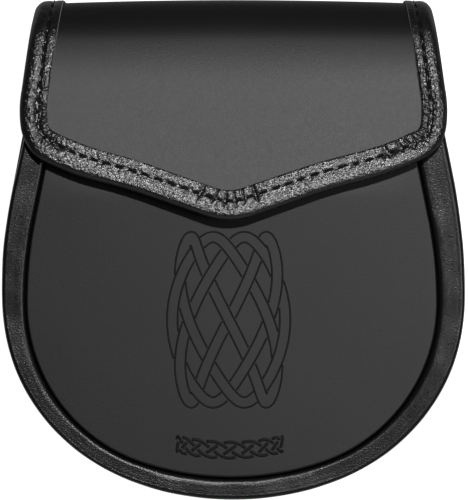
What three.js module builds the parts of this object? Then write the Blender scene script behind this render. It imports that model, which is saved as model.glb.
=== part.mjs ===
// A black leather day sporran: a round-bottomed pouch that is worn in front of a kilt. It lies on its
// back, as it would on a table, resting on its strap keeper and on the rim of its rounded bottom.
// Millimetres. X runs across the pouch, Y from its rounded bottom to the fold at its top, and Z up
// from the table towards its front. The origin is the middle of its footprint.

import * as THREE from "three";

// Driving dimensions

const GAP = 0.3; // between pieces that are sewn together or lie against each other
const FOLD_TOP = 100; // the Y of the fold's crown, where the back turns over into the flap

// The two outlines seen from the front: the pouch's edge, and the groove that its front is sewn into.
const POUCH = {
  bottomY: -99.9, halfWidth: 92.7, bottomRadius: 120.5, bottomTurn: 19.3, sideRadius: 239, sideTurn: 10.8,
};
const GROOVE = {
  bottomY: -91.4, halfWidth: 82.5, bottomRadius: 114, bottomTurn: 18.5, sideRadius: 170, sideTurn: 11.4,
};
const GROOVE_CENTRE_X = -0.7; // the front is sewn in a little to one side

const BACK = { thickness: 2.2, foldRadius: 6 };
const FRONT = { z: 34, thickness: 2.2, topY: 80, bendY: 40, mouthDrop: 5.5, inset: 1 };
const FRONT_EDGE = { width: 2, drop: 1.1 }; // the skived margin that turns down into the groove
const FLAP = { tipY: 11.8, tiltDeg: 9, edgeInset: 1.6 };
const FLAP_LEAN = { tip: -1.6, fromY: 42, toY: 30 }; // the tip hangs a little to one side
// From the crown of the fold down to the flat of the flap
const FOLD_ARCS = [arc(10, 40), arc(35, 18), arc(30, 12), arc(110, 11)];
const FOLD_SAG = { fromY: 68, crown: 0.9, crownHalf: 62, endHalf: 70, endLength: 9, endDrop: 0.3 };
const FOLD_LEAN_DEG = 7.3; // how far the flap's rim leans in over the fold
const GUSSET = { topY: 84, thickness: 1.3, fall: 1.3, fallFromY: 60 };
const SETBACK = { usual: 0.3, upperLeft: 1.5, fromY: -10, toY: 30 }; // of the gusset from the back's rim
const KEEPER = { halfWidth: 38, thickness: 1.8, strapGap: 5, lowY: 25, tab: 7, ramp: 5, bridge: 36 };
const STUD = { y: 36, radius: 6, height: 3.8, chamfer: 0.8, sides: 16 };

// Half widths at which the meshes start at the middle of a rounded bottom or of the flap's tip.
const START_HALF = 2;
const FRONT_START_HALF = 4;

const POUCH_STEPS = [4, 10, 5, 5]; // stations on each run of the pouch's outlines
const SHEET_COLUMNS = [-1, -0.93, -0.82, -0.45, 0, 0.45, 0.82, 0.93, 1];
const FRONT_COLUMNS = [-1, -0.6, 0, 0.6, 1];

// The flap's rim from the middle of its tip round one corner, up to the straight side.
const FLAP_RIM = [arc(28, 19.3), line(24.4), arc(213, -5.3), arc(121, 11.9), arc(18.4, 57.1), arc(50, 16.5)];
const RIM_STEPS = [5, 4, 3, 6, 8, 4]; // stations on each of those runs
const CRIMPED = [true, false, false, true, true, false]; // runs where the binding is gathered
const SIDE_STEPS = 3; // stations on the flap's straight side, below the fold
const FOLD_STEPS = [3, 3, 2, 3]; // stations on each arc of the fold
const REAR_STEPS = 5; // stations from the crown down the back of the fold

// The binding is narrower up the flap's sides, where this is its share of the full width.
const SIDE_WIDTH = { left: 0.93, right: 0.87 };
const UPRIGHT = { from: 0.55, to: 0.95 }; // how squarely the strip faces sideways

// The binding in section, from the flap's face round its rim to its underside. Inset is measured in
// from the rim and height up from the flap's face. Fold is the skin's height over the fold, where the
// strip is stretched, and crimp how far the gathers press it in.
const BINDING_SKIN = [
  { inset: 12.0, height: 0.8, fold: 0.8, crimp: 0.0, liningInset: 12.0, liningHeight: GAP },
  { inset: 11.4, height: 1.1, fold: 1.0, crimp: 0.2, liningInset: 11.4, liningHeight: GAP },
  { inset: 9.6, height: 1.25, fold: 1.05, crimp: 0.4, liningInset: 9.6, liningHeight: GAP },
  { inset: 8.3, height: 1.2, fold: 1.0, crimp: 0.3, liningInset: 8.3, liningHeight: GAP },
  { inset: 7.6, height: 1.0, fold: 0.85, crimp: 0.0, liningInset: 7.6, liningHeight: GAP },
  { inset: 6.9, height: 1.2, fold: 1.0, crimp: 0.2, liningInset: 6.9, liningHeight: GAP },
  { inset: 5.2, height: 1.35, fold: 1.1, crimp: 0.3, liningInset: 5.2, liningHeight: GAP },
  { inset: 3.2, height: 1.3, fold: 1.0, crimp: 0.1, liningInset: 3.2, liningHeight: GAP },
  { inset: 1.8, height: 1.0, fold: 0.6, crimp: 0.0, liningInset: 2.2, liningHeight: GAP },
  { inset: 0.5, height: 0.0, fold: -0.4, crimp: 0.0, liningInset: 1.3, liningHeight: GAP },
  { inset: 0.0, height: -1.5, fold: -1.5, crimp: 0.0, liningInset: 1.3, liningHeight: -1.2 },
  { inset: 0.6, height: -3.0, fold: -3.0, crimp: 0.0, liningInset: 1.3, liningHeight: -2.5 },
  { inset: 2.2, height: -3.5, fold: -3.5, crimp: 0.0, liningInset: 2.4, liningHeight: -2.5 },
  { inset: 11.0, height: -3.5, fold: -3.5, crimp: 0.0, liningInset: 11.0, liningHeight: -2.5 },
];

// The gusset in section, from the flange under the front panel over its rim to the flange on the back.
// Share is how far out it lies from the groove to the pouch's edge, plus a distance in millimetres, and
// rise is its height above the front panel's face or above the inside of the back.
const GUSSET_SKIN = [
  { share: 0.0, plus: -7.0, above: frontZ, rise: -2.5 },
  { share: 0.0, plus: 0.1, above: frontZ, rise: -2.5 },
  { share: 0.0, plus: 0.4, above: frontZ, rise: -1.2 },
  { share: 0.0, plus: 0.9, above: frontZ, rise: 0.2 },
  { share: 0.0, plus: 1.7, above: shoulderZ, rise: 0.6 },
  { share: 0.0, plus: 2.8, above: shoulderZ, rise: 0.7 },
  { share: 0.76, plus: 0.0, above: shoulderZ, rise: 0.75 },
  { share: 0.9, plus: 0.0, above: shoulderZ, rise: 0.45 },
  { share: 0.975, plus: 0.0, above: shoulderZ, rise: -0.6 },
  { share: 1.0, plus: 0.0, above: shoulderZ, rise: -2.6 },
  { share: 1.0, plus: 0.0, above: middleZ, rise: 0.0 },
  { share: 1.0, plus: -0.5, above: backInsideZ, rise: 6.5 },
  { share: 1.0, plus: -1.8, above: backInsideZ, rise: 1.8 },
  { share: 1.0, plus: -3.5, above: backInsideZ, rise: GAP },
  { share: 1.0, plus: -10.0, above: backInsideZ, rise: GAP },
];

// Paths of arcs and straight runs, bending to the left where the turn is positive

const ORIGIN = { x: 0, y: 0, heading: 0 };

function radians(degrees) {
  return THREE.MathUtils.degToRad(degrees);
}

function arc(radius, turnDeg) {
  return { length: radius * Math.abs(radians(turnDeg)), bend: Math.sign(turnDeg) / radius };
}

function line(length) {
  return { length, bend: 0 };
}

function along({ x, y, heading }, { bend }, distance) {
  if (bend === 0) {
    return { x: x + Math.cos(heading) * distance, y: y + Math.sin(heading) * distance, heading };
  }
  const turned = heading + bend * distance;
  return {
    x: x + (Math.sin(turned) - Math.sin(heading)) / bend,
    y: y + (Math.cos(heading) - Math.cos(turned)) / bend,
    heading: turned,
  };
}

// The place at a distance along a path, whose last run goes on for as long as it is asked to.
function placeOn(path, distance) {
  let place = path.start;
  let left = distance;
  path.runs.forEach((run, i) => {
    const step = i < path.runs.length - 1 ? Math.min(left, run.length) : left;
    place = along(place, run, step);
    left -= step;
  });
  return place;
}

// The same path moved to its left side, run for run.
function insetPath(path, inset) {
  const { x, y, heading } = path.start;
  const start = { x: x - inset * Math.sin(heading), y: y + inset * Math.cos(heading), heading };
  const runs = path.runs.map(({ length, bend }) => {
    const stretch = 1 - inset * bend;
    return { length: length * stretch, bend: bend / stretch };
  });
  return { start, runs };
}

// Stations with a stated number of steps on each run, as places with the run they lie on.
function stationsOn(path, stepsPerRun) {
  const stations = [{ ...path.start, run: 0 }];
  let before = 0;
  path.runs.forEach(({ length }, run) => {
    for (let step = 1; step <= stepsPerRun[run]; step++) {
      stations.push({ ...placeOn(path, before + (length * step) / stepsPerRun[run]), run });
    }
    before += length;
  });
  return stations;
}

// The right half of a round-bottomed outline, from the middle of its bottom up to a height.
function roundBottomed(shape, topY) {
  const sine = Math.sin(radians(shape.bottomTurn));
  const hipRadius = (shape.halfWidth - shape.bottomRadius * sine) / (1 - sine);
  const start = { ...ORIGIN, y: shape.bottomY };
  const runs = [
    arc(shape.bottomRadius, shape.bottomTurn),
    arc(hipRadius, 90 - shape.bottomTurn),
    arc(shape.sideRadius, shape.sideTurn),
  ];
  const shoulder = stationsOn({ start, runs }, [1, 1, 1]).at(-1);
  return { start, runs: [...runs, line((topY - shoulder.y) / Math.sin(shoulder.heading))] };
}

// Heights of the faces

// The back rises from the rim of its bottom to clear the strap under the low end of the keeper's bridge.
const BRIDGE_Y = KEEPER.lowY + KEEPER.tab + KEEPER.ramp;
const BACK_TILT = Math.atan((KEEPER.thickness + KEEPER.strapGap) / (BRIDGE_Y - POUCH.bottomY));

function backZ(y) {
  return (y - POUCH.bottomY) * Math.tan(BACK_TILT);
}

function backInsideZ(y) {
  return backZ(y) + BACK.thickness / Math.cos(BACK_TILT);
}

function frontZ(y) {
  const bent = Math.max(y - FRONT.bendY, 0) / (FRONT.topY - FRONT.bendY);
  return FRONT.z - FRONT.mouthDrop * bent ** 2;
}

// The gusset's front falls away under the fold at both its ends.
function shoulderZ(y) {
  return frontZ(y) - GUSSET.fall * THREE.MathUtils.smoothstep(y, GUSSET.fallFromY, GUSSET.topY);
}

function middleZ(y) {
  return (frontZ(y) + backInsideZ(y)) / 2;
}

// The sheet that makes the back, the fold and the flap, in profile from its crown: X here is the
// pouch's Y, and Y its Z.

const REAR_BEND_Y = FOLD_TOP - BACK.foldRadius * (1 - Math.sin(BACK_TILT));
const CROWN_Z = backZ(REAR_BEND_Y) + BACK.foldRadius * Math.cos(BACK_TILT);
const REAR_ARC = arc(BACK.foldRadius, THREE.MathUtils.radToDeg(BACK_TILT) - 90);
const REAR_LENGTH = REAR_ARC.length;
const REAR_PROFILE = {
  start: { x: FOLD_TOP, y: CROWN_Z, heading: radians(-90) },
  runs: [REAR_ARC, line(REAR_BEND_Y - POUCH.bottomY)],
};
const FOLD_PROFILE = { start: { x: FOLD_TOP, y: CROWN_Z, heading: radians(90) }, runs: FOLD_ARCS };
const FOLD_FOOT = stationsOn(FOLD_PROFILE, FOLD_STEPS).at(-1);
const FOLD_LENGTH = FOLD_ARCS.reduce((sum, run) => sum + run.length, 0);
const FLAP_FLAT = (FOLD_FOOT.x - FLAP.tipY) / Math.cos(radians(FLAP.tiltDeg));
const FLAP_LENGTH = FOLD_LENGTH + FLAP_FLAT;
const FLAP_PROFILE = { start: FOLD_PROFILE.start, runs: [...FOLD_ARCS, line(FLAP_FLAT)] };

// How far the crown falls away towards the ends of the fold.
function foldSag(x, y) {
  const weight = Math.max(y - FOLD_SAG.fromY, 0) / (FOLD_TOP - FOLD_SAG.fromY);
  const end = Math.max(Math.abs(x) - FOLD_SAG.endHalf, 0) / FOLD_SAG.endLength;
  return (FOLD_SAG.crown * (x / FOLD_SAG.crownHalf) ** 2 + FOLD_SAG.endDrop * end ** 2) * weight ** 2;
}

function flapLean(y) {
  const share = (FLAP_LEAN.fromY - y) / (FLAP_LEAN.fromY - FLAP_LEAN.toY);
  return FLAP_LEAN.tip * THREE.MathUtils.clamp(share, 0, 1);
}

// A point of the sheet, across at x, a distance from the crown (towards the flap's tip where it is
// positive, down the back where it isn't), and a height off its outer face.
function onSheet(x, fromCrown, height) {
  const onFlap = fromCrown >= 0;
  const place = placeOn(onFlap ? FLAP_PROFILE : REAR_PROFILE, Math.abs(fromCrown));
  const side = onFlap ? 1 : -1;
  const y = place.x + side * Math.sin(place.heading) * height;
  const z = place.y - side * Math.cos(place.heading) * height;
  const lean = onFlap ? flapLean(place.x) : 0;
  return new THREE.Vector3(x + lean, y - foldSag(x, place.x), z);
}

// Distances from the crown of the stations on the flap's straight side and on the fold.
function sideDistances(cornerFromCrown) {
  const unrolled = { start: ORIGIN, runs: FOLD_ARCS.map((run) => line(run.length)) };
  const fold = stationsOn(unrolled, FOLD_STEPS).map(({ x }) => x);
  const side = [];
  for (let step = 1; step < SIDE_STEPS; step++) {
    side.push(THREE.MathUtils.lerp(cornerFromCrown, FOLD_LENGTH, step / SIDE_STEPS));
  }
  return [...side, ...fold.reverse()];
}

// Stations of a line along the flap's rim, inset from it, from the tip's middle up to the crown.
function flapEdge(inset) {
  const rim = stationsOn(insetPath({ start: ORIGIN, runs: FLAP_RIM }, inset), RIM_STEPS);
  const stations = rim.map((place) => ({ ...place, fromCrown: FLAP_LENGTH - place.y }));
  const corner = stations.at(-1);
  const side = sideDistances(corner.fromCrown).map((fromCrown) => {
    const overFold = Math.max(FOLD_LENGTH - fromCrown, 0);
    const upSide = corner.fromCrown - fromCrown - overFold;
    const x = corner.x + upSide / Math.tan(corner.heading) - overFold * Math.tan(radians(FOLD_LEAN_DEG));
    return { x, fromCrown, heading: corner.heading };
  });
  return [...stations, ...side];
}

// The sheet's stations, from the bottom of its back over the fold to the flap's tip.
function sheetStations() {
  const back = stationsOn(roundBottomed(POUCH, REAR_BEND_Y), POUCH_STEPS).map(({ x, y }) => {
    return { x, fromCrown: -REAR_LENGTH - (REAR_BEND_Y - y) / Math.cos(BACK_TILT) };
  });
  const flap = flapEdge(FLAP.edgeInset).reverse();
  const rear = [];
  for (let step = 1; step < REAR_STEPS; step++) {
    const share = step / REAR_STEPS;
    const x = THREE.MathUtils.lerp(back.at(-1).x, flap[0].x, share);
    rear.push({ x, fromCrown: -REAR_LENGTH * (1 - share) });
  }
  return [...back, ...rear, ...flap];
}

// Solids

// A closed wall between two skins: each row holds the same number of points of each skin.
function wallGeometry(rows) {
  const count = rows[0].outside.length;
  const points = rows.flatMap((row) => [...row.outside, ...row.inside]);
  const index = [];
  const at = (row, skin, column) => (row * 2 + skin) * count + column;
  const quad = (a, b, c, d) => index.push(a, b, c, a, c, d);
  const last = rows.length - 1;
  for (let row = 0; row < last; row++) {
    for (let column = 0; column < count - 1; column++) {
      quad(at(row, 0, column), at(row, 0, column + 1), at(row + 1, 0, column + 1), at(row + 1, 0, column));
      quad(at(row, 1, column), at(row + 1, 1, column), at(row + 1, 1, column + 1), at(row, 1, column + 1));
    }
    quad(at(row, 0, 0), at(row + 1, 0, 0), at(row + 1, 1, 0), at(row, 1, 0));
    quad(at(row, 0, count - 1), at(row, 1, count - 1), at(row + 1, 1, count - 1), at(row + 1, 0, count - 1));
  }
  for (let column = 0; column < count - 1; column++) {
    quad(at(0, 0, column), at(0, 1, column), at(0, 1, column + 1), at(0, 0, column + 1));
    quad(at(last, 0, column), at(last, 0, column + 1), at(last, 1, column + 1), at(last, 1, column));
  }
  if (signedVolume(points, index) < 0) index.reverse();
  const geometry = new THREE.BufferGeometry().setFromPoints(points);
  geometry.setIndex(index);
  geometry.computeVertexNormals();
  return geometry;
}

function signedVolume(points, index) {
  let volume = 0;
  for (let i = 0; i < index.length; i += 3) {
    const [a, b, c] = [points[index[i]], points[index[i + 1]], points[index[i + 2]]];
    volume += a.dot(b.clone().cross(c)) / 6;
  }
  return volume;
}

// An open line of points moved sideways, to its right where the distance is positive.
function offsetLine(points, distance) {
  return points.map((point, i) => {
    const before = points[Math.max(i - 1, 0)];
    const after = points[Math.min(i + 1, points.length - 1)];
    const into = point === before ? after.clone().sub(point) : point.clone().sub(before);
    const out = point === after ? into.clone() : after.clone().sub(point);
    const mitre = into.normalize().add(out.normalize());
    const stretch = (2 * distance) / mitre.lengthSq();
    return new THREE.Vector2(point.x + mitre.y * stretch, point.y - mitre.x * stretch);
  });
}

function backFlapPanel() {
  const rows = sheetStations().map(({ x, fromCrown }) => {
    const half = Math.max(x, START_HALF);
    const skin = (height) => SHEET_COLUMNS.map((share) => onSheet(share * half, fromCrown, height));
    return { outside: skin(0), inside: skin(-BACK.thickness) };
  });
  return wallGeometry(rows);
}

// The binding's stations on the right half: the rim's place on the flat sheet, the way in from it, how
// stretched the strip is, and whether a gather presses it in there.
function bindingStations() {
  const rim = flapEdge(0).map(({ x, fromCrown, heading, run }, i) => {
    const onFold = fromCrown <= FOLD_LENGTH;
    return {
      x,
      fromCrown,
      inX: onFold ? -1 : -Math.sin(heading),
      inDown: onFold ? 0 : -Math.cos(heading),
      stretched: THREE.MathUtils.smoothstep(FOLD_LENGTH - fromCrown, 0, FOLD_LENGTH / 2),
      crimp: CRIMPED[run] && i % 2 === 1 ? 1 : 0,
    };
  });
  const crown = rim.at(-1);
  const backEnd = stationsOn(roundBottomed(POUCH, REAR_BEND_Y), POUCH_STEPS).at(-1);
  for (let step = 1; step <= REAR_STEPS; step++) {
    const share = step / REAR_STEPS;
    const x = THREE.MathUtils.lerp(crown.x, backEnd.x + FLAP.edgeInset, share);
    rim.push({ ...crown, x, fromCrown: -REAR_LENGTH * share });
  }
  return rim;
}

function flapBinding() {
  const right = bindingStations();
  const left = right.slice(1).map((station) => ({ ...station, x: -station.x, inX: -station.inX }));
  const rows = [...left.reverse(), ...right].map(({ x, fromCrown, inX, inDown, stretched, crimp }) => {
    const upright = THREE.MathUtils.smoothstep(Math.abs(inX), UPRIGHT.from, UPRIGHT.to);
    const width = THREE.MathUtils.lerp(1, x < 0 ? SIDE_WIDTH.left : SIDE_WIDTH.right, upright);
    const point = (inset, height) => {
      return onSheet(x + inX * inset * width, fromCrown + inDown * inset * width, height);
    };
    const outside = BINDING_SKIN.map((skin) => {
      const height = THREE.MathUtils.lerp(skin.height, skin.fold, stretched);
      return point(skin.inset, height - skin.crimp * crimp);
    });
    return { outside, inside: BINDING_SKIN.map((skin) => point(skin.liningInset, skin.liningHeight)) };
  });
  return wallGeometry(rows);
}

// How far the gusset stands back from the rim of the back, which shows on the upper left.
function gussetSetback(side, y) {
  const shown = side < 0 ? THREE.MathUtils.smoothstep(y, SETBACK.fromY, SETBACK.toY) : 0;
  return THREE.MathUtils.lerp(SETBACK.usual, SETBACK.upperLeft, shown);
}

function gusset() {
  const groove = stationsOn(roundBottomed(GROOVE, GUSSET.topY), POUCH_STEPS);
  const edge = stationsOn(roundBottomed(POUCH, GUSSET.topY), POUCH_STEPS);
  const rowOn = (side) => (foot, i) => {
    const from = new THREE.Vector2(side * foot.x + GROOVE_CENTRE_X, foot.y);
    const out = new THREE.Vector2(side * edge[i].x, edge[i].y).sub(from);
    const width = out.length() - gussetSetback(side, foot.y);
    out.normalize();
    const section = GUSSET_SKIN.map(({ share, plus, above, rise }) => {
      const distance = share * width + plus;
      return new THREE.Vector2(distance, above(from.y + out.y * distance) + rise);
    });
    const place = ({ x, y }) => new THREE.Vector3(from.x + out.x * x, from.y + out.y * x, y);
    return { outside: section.map(place), inside: offsetLine(section, GUSSET.thickness).map(place) };
  };
  const left = groove.map(rowOn(-1)).reverse();
  const right = groove.map(rowOn(1));
  return wallGeometry([...left.slice(0, -1), ...right]);
}

// Each row runs in from the skived rim to the flat field and out again, but the lowest lies on the rim.
function frontPanel() {
  const outline = insetPath(roundBottomed(GROOVE, FRONT.topY), FRONT.inset);
  const rim = stationsOn(outline, POUCH_STEPS);
  const field = stationsOn(insetPath(outline, FRONT_EDGE.width), POUCH_STEPS);
  const point = (x, y, drop) => {
    const inside = Math.min(y, FRONT.topY);
    return new THREE.Vector3(x + GROOVE_CENTRE_X, inside, frontZ(inside) - drop);
  };
  const lowest = { x: FRONT_START_HALF * 0.8, y: rim[0].y };
  const faces = rim.map((edge, i) => {
    const flat = i === 0 ? lowest : field[i];
    const half = Math.max(edge.x, FRONT_START_HALF);
    const drop = i === 0 ? FRONT_EDGE.drop : 0;
    return [
      point(-half, edge.y, FRONT_EDGE.drop),
      ...FRONT_COLUMNS.map((share) => point(share * flat.x, flat.y, drop)),
      point(half, edge.y, FRONT_EDGE.drop),
    ];
  });
  const rows = faces.map((outside) => {
    const inside = outside.map(({ x, y }) => new THREE.Vector3(x, y, frontZ(y) - FRONT.thickness));
    return { outside, inside };
  });
  return wallGeometry(rows);
}

function strapKeeper() {
  const { lowY, tab, ramp, bridge, thickness, halfWidth } = KEEPER;
  const underBack = (y) => new THREE.Vector2(y, backZ(y) - GAP - thickness);
  const bridgeEndY = BRIDGE_Y + bridge;
  const outer = [
    underBack(lowY),
    underBack(lowY + tab),
    new THREE.Vector2(BRIDGE_Y, 0),
    new THREE.Vector2(bridgeEndY, 0),
    underBack(bridgeEndY + ramp),
    underBack(bridgeEndY + ramp + tab),
  ];
  const inner = offsetLine(outer, -thickness);
  const across = (point) => [-halfWidth, halfWidth].map((x) => new THREE.Vector3(x, point.x, point.y));
  return wallGeometry(outer.map((point, i) => ({ outside: across(point), inside: across(inner[i]) })));
}

function closureStud() {
  const { radius, height, chamfer, sides } = STUD;
  const profile = [
    new THREE.Vector2(0, 0),
    new THREE.Vector2(radius, 0),
    new THREE.Vector2(radius, height - chamfer),
    new THREE.Vector2(radius - chamfer, height),
    new THREE.Vector2(0, height),
  ];
  return new THREE.LatheGeometry(profile, sides).rotateX(radians(90));
}

// The assembly

const SMOOTH_LEATHER = { color: 0x1c1c1e, roughness: 0.5, metalness: 0 };
const GRAINED_LEATHER = { color: 0x202022, roughness: 0.38, metalness: 0 };
const PAINTED_METAL = { color: 0x141416, roughness: 0.4, metalness: 0.6 };

function piece(name, geometry, finish) {
  const mesh = new THREE.Mesh(geometry, new THREE.MeshStandardMaterial(finish));
  mesh.name = name;
  return mesh;
}

function sporran() {
  const group = new THREE.Group();
  const stud = piece("closure_stud", closureStud(), PAINTED_METAL);
  stud.position.set(0, STUD.y, frontZ(STUD.y) + GAP);
  group.add(
    piece("back_flap_panel", backFlapPanel(), SMOOTH_LEATHER),
    piece("flap_binding", flapBinding(), GRAINED_LEATHER),
    piece("gusset", gusset(), SMOOTH_LEATHER),
    piece("front_panel", frontPanel(), SMOOTH_LEATHER),
    piece("strap_keeper", strapKeeper(), SMOOTH_LEATHER),
    stud,
  );
  return group;
}

export default sporran();
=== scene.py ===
# A black leather day sporran, laid on its back on a pale table and seen from straight above. The packed
# solids give the frame. Each leather piece is made again over its solid, with rolled rims, gathers,
# grain and stitching. Sizes are in millimetres unless a name says otherwise.
import itertools
import math

import bpy
import numpy as np
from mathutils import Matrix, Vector
from mathutils.geometry import delaunay_2d_cdt


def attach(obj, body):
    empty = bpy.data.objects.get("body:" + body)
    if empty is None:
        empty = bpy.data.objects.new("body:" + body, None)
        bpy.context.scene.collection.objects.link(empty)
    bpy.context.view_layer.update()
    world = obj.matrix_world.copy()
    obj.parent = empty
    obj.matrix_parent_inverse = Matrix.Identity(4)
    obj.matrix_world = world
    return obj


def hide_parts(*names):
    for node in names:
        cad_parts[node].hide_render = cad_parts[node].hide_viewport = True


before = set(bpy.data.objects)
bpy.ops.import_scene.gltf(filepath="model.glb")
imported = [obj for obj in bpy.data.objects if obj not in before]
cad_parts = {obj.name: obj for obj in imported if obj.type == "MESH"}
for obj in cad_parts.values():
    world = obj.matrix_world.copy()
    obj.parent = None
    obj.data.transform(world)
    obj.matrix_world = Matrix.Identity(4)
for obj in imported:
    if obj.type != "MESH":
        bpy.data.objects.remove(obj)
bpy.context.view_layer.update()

MM = 0.001
SEED = 7

# The camera stands far off, straight over the pouch, with the top of the photo towards +Y.
PHOTO_SIZE = (468, 500)
MM_PER_PIXEL = 0.4
CAMERA = {"centre": (0.2, -0.2), "height": 4000.0, "sharp_z": 25.0, "sensor": 36.0}

# The driving dimensions of the solids
GAP = 0.3
FOLD_TOP = 100.0
POUCH = {
    "bottom_y": -99.9, "half_width": 92.7, "bottom_radius": 120.5, "bottom_turn": 19.3,
    "side_radius": 239.0, "side_turn": 10.8,
}
GROOVE = {
    "bottom_y": -91.4, "half_width": 82.5, "bottom_radius": 114.0, "bottom_turn": 18.5,
    "side_radius": 170.0, "side_turn": 11.4,
}
GROOVE_CENTRE_X = -0.7
BACK = {"thickness": 2.2, "fold_radius": 6.0}
FRONT = {"z": 34.0, "thickness": 2.2, "top_y": 80.0, "bend_y": 40.0, "mouth_drop": 5.5}
FRONT_EDGE = {"inset": 0.45, "width": 0.9, "drop": 0.7, "corner": 5.0}
FRONT_BULGE = {"rise": 1.8, "half_width": 82.0, "full_y": 20.0, "flat_y": 44.0}
FLAP = {"tip_y": 11.8, "tilt": 9.0, "edge_inset": 1.6}
FLAP_LEAN = {"tip": -1.6, "from_y": 42.0, "to_y": 30.0}
FOLD_SAG = {
    "from_y": 68.0, "crown": 0.9, "crown_half": 62.0, "end_half": 70.0, "end_length": 9.0, "end_drop": 0.3,
}
FOLD_LEAN = {"degrees": 7.3, "radius": 80.0}
GUSSET = {"top_y": 84.0, "thickness": 1.3, "fall": 1.3, "fall_from_y": 60.0}
SETBACK = {"usual": 0.3, "upper_left": 1.5, "from_y": -10.0, "to_y": 30.0}
KEEPER = {
    "half_width": 38.0, "thickness": 1.8, "strap_gap": 5.0, "low_y": 25.0, "tab": 7.0, "ramp": 5.0,
    "bridge": 36.0, "edge_radius": 0.6,
}
STUD = {"y": 36.0, "radius": 6.0, "height": 3.8, "bevel": 0.9}

# Stitches are thick waxed thread, about five to the inch. Each seam has its inset from the rim, and the
# height, the dip and the number of points of its stitches.
STITCH = {"pitch": 5.4, "length": 3.1, "radius": 0.29}
THREAD = {"around": 10, "plies": 2, "ply_depth": 0.14, "twist": 0.9}
BINDING_SEAM = {"inset": 7.6, "height": 0.85, "dip": 1.1, "points": 13}
BACK_SEAM = {"inset": 5.0, "height": 0.12, "dip": 1.0, "points": 11}
KEEPER_SEAM = {"inset": 2.0, "height": 0.1, "dip": 0.9, "points": 11}

# Stretches of the rim where the binding is gathered, in distances from the middle of the flap's tip, and
# the gathers there: shift along the rim, depth, slant and pull on the seam
GATHERED = {"tip": 17.0, "left": (76.0, 112.0), "right": (66.0, 108.0)}
GATHERS = {
    "tip": {"shift": 1.2, "depth": (0.5, 1.0), "slant": 0.35, "pull": 0.3},
    "corner": {"shift": 0.9, "depth": (0.3, 1.0), "slant": 0.6, "pull": 1.0},
}

# The strip's creases, the pits along its seam, the valley that its stitches press, its lumps and its grain
CREASE = {
    "depth": 1.1, "steep": 1.3, "narrow": 0.4, "wider": 0.6, "seam_width": 1.6, "outward": 2.4, "near": 4.0,
}
RUMPLE_WIDTH = 3.0
PIT = {"depth": 0.75, "vary": 0.2, "vary_size": 3.2, "width": 0.75}
VALLEY = {"width": 0.34, "under_stitch": 0.4, "between": 0.04}
LUMPS = {"depth": 0.1, "size": 4.0, "fine_depth": 0.05, "rumpled_depth": 0.12, "fine_size": 1.9}
SIDE_VALLEY = {"depth": 0.28, "width": 0.65}
GRAIN = {
    "size": 1.2, "depth": 0.15, "wave_size": 0.9, "wave_depth": 0.08, "side_more": 0.8, "fold_less": 1.4,
}

# The binding's share of its full width where it runs up the flap's sides
SIDE_WIDTH = {"left": 0.93, "right": 0.87}

# The flap's binding in section: how far in from the rim, and how high off the flap's face, along the
# bottom of the flap, up its sides and over its fold.
BINDING_FACE = [
    (12.05, 0.42, 0.42, 0.42), (11.8, 0.9, 0.85, 0.85), (11.4, 1.08, 1.16, 0.98), (10.4, 1.18, 1.46, 1.02),
    (9.4, 1.22, 1.38, 1.05), (8.3, 1.17, 1.2, 0.98), (7.6, 1.08, 1.04, 0.9), (6.9, 1.18, 1.15, 0.98),
    (5.8, 1.28, 1.32, 1.08), (4.2, 1.34, 1.38, 1.06), (3.0, 1.34, 1.17, 0.92), (2.1, 1.26, 0.78, 0.6),
    (1.4, 1.0, 0.26, 0.15), (0.8, 0.5, -0.32, -0.35), (0.35, -0.1, -0.88, -0.85), (0.08, -0.8, -1.35, -1.3),
    (0.0, -1.5, -1.85, -1.8), (0.6, -3.0, -3.0, -3.0), (2.2, -3.5, -3.5, -3.5), (11.0, -3.5, -3.5, -3.5),
]
BINDING_SPANS = [2, 3, 4, 4, 4, 3, 3, 5, 6, 4, 4, 3, 3, 3, 3, 2, 3, 3, 4]
LINING_HEIGHT = 0.12
THINNEST = 0.05
BINDING_LINING = [
    (11.0, -2.5), (2.4, -2.5), (1.3, -2.3), (1.3, -0.1), (2.2, LINING_HEIGHT), (12.0, LINING_HEIGHT),
]
LINING_SPANS = [4, 2, 3, 2, 6]


def smoothstep(value, low, high):
    share = np.clip((value - low) / (high - low), 0, 1)
    return share * share * (3 - 2 * share)


def bell(distance, width):
    return np.exp(-((distance / width) ** 2))


def columns(*values):
    return np.stack(values, axis=-1)


def lengths(vectors):
    return np.linalg.norm(vectors, axis=-1)


def unit(vectors):
    return vectors / lengths(vectors)[..., None]


def turned_left(vectors):
    return columns(-vectors[..., 1], vectors[..., 0])


# Paths of arcs and straight runs, bending to the left where the turn is positive


def arc(radius, turn_deg):
    turn = math.radians(turn_deg)
    return radius * abs(turn), math.copysign(1 / radius, turn)


def straight(length):
    return length, 0.0


def advance(place, bend, distance):
    x, y, heading = place
    half_turn = bend * distance / 2
    chord = distance * np.sinc(half_turn / np.pi)
    middle = heading + half_turn
    return x + chord * np.cos(middle), y + chord * np.sin(middle), heading + 2 * half_turn


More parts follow.
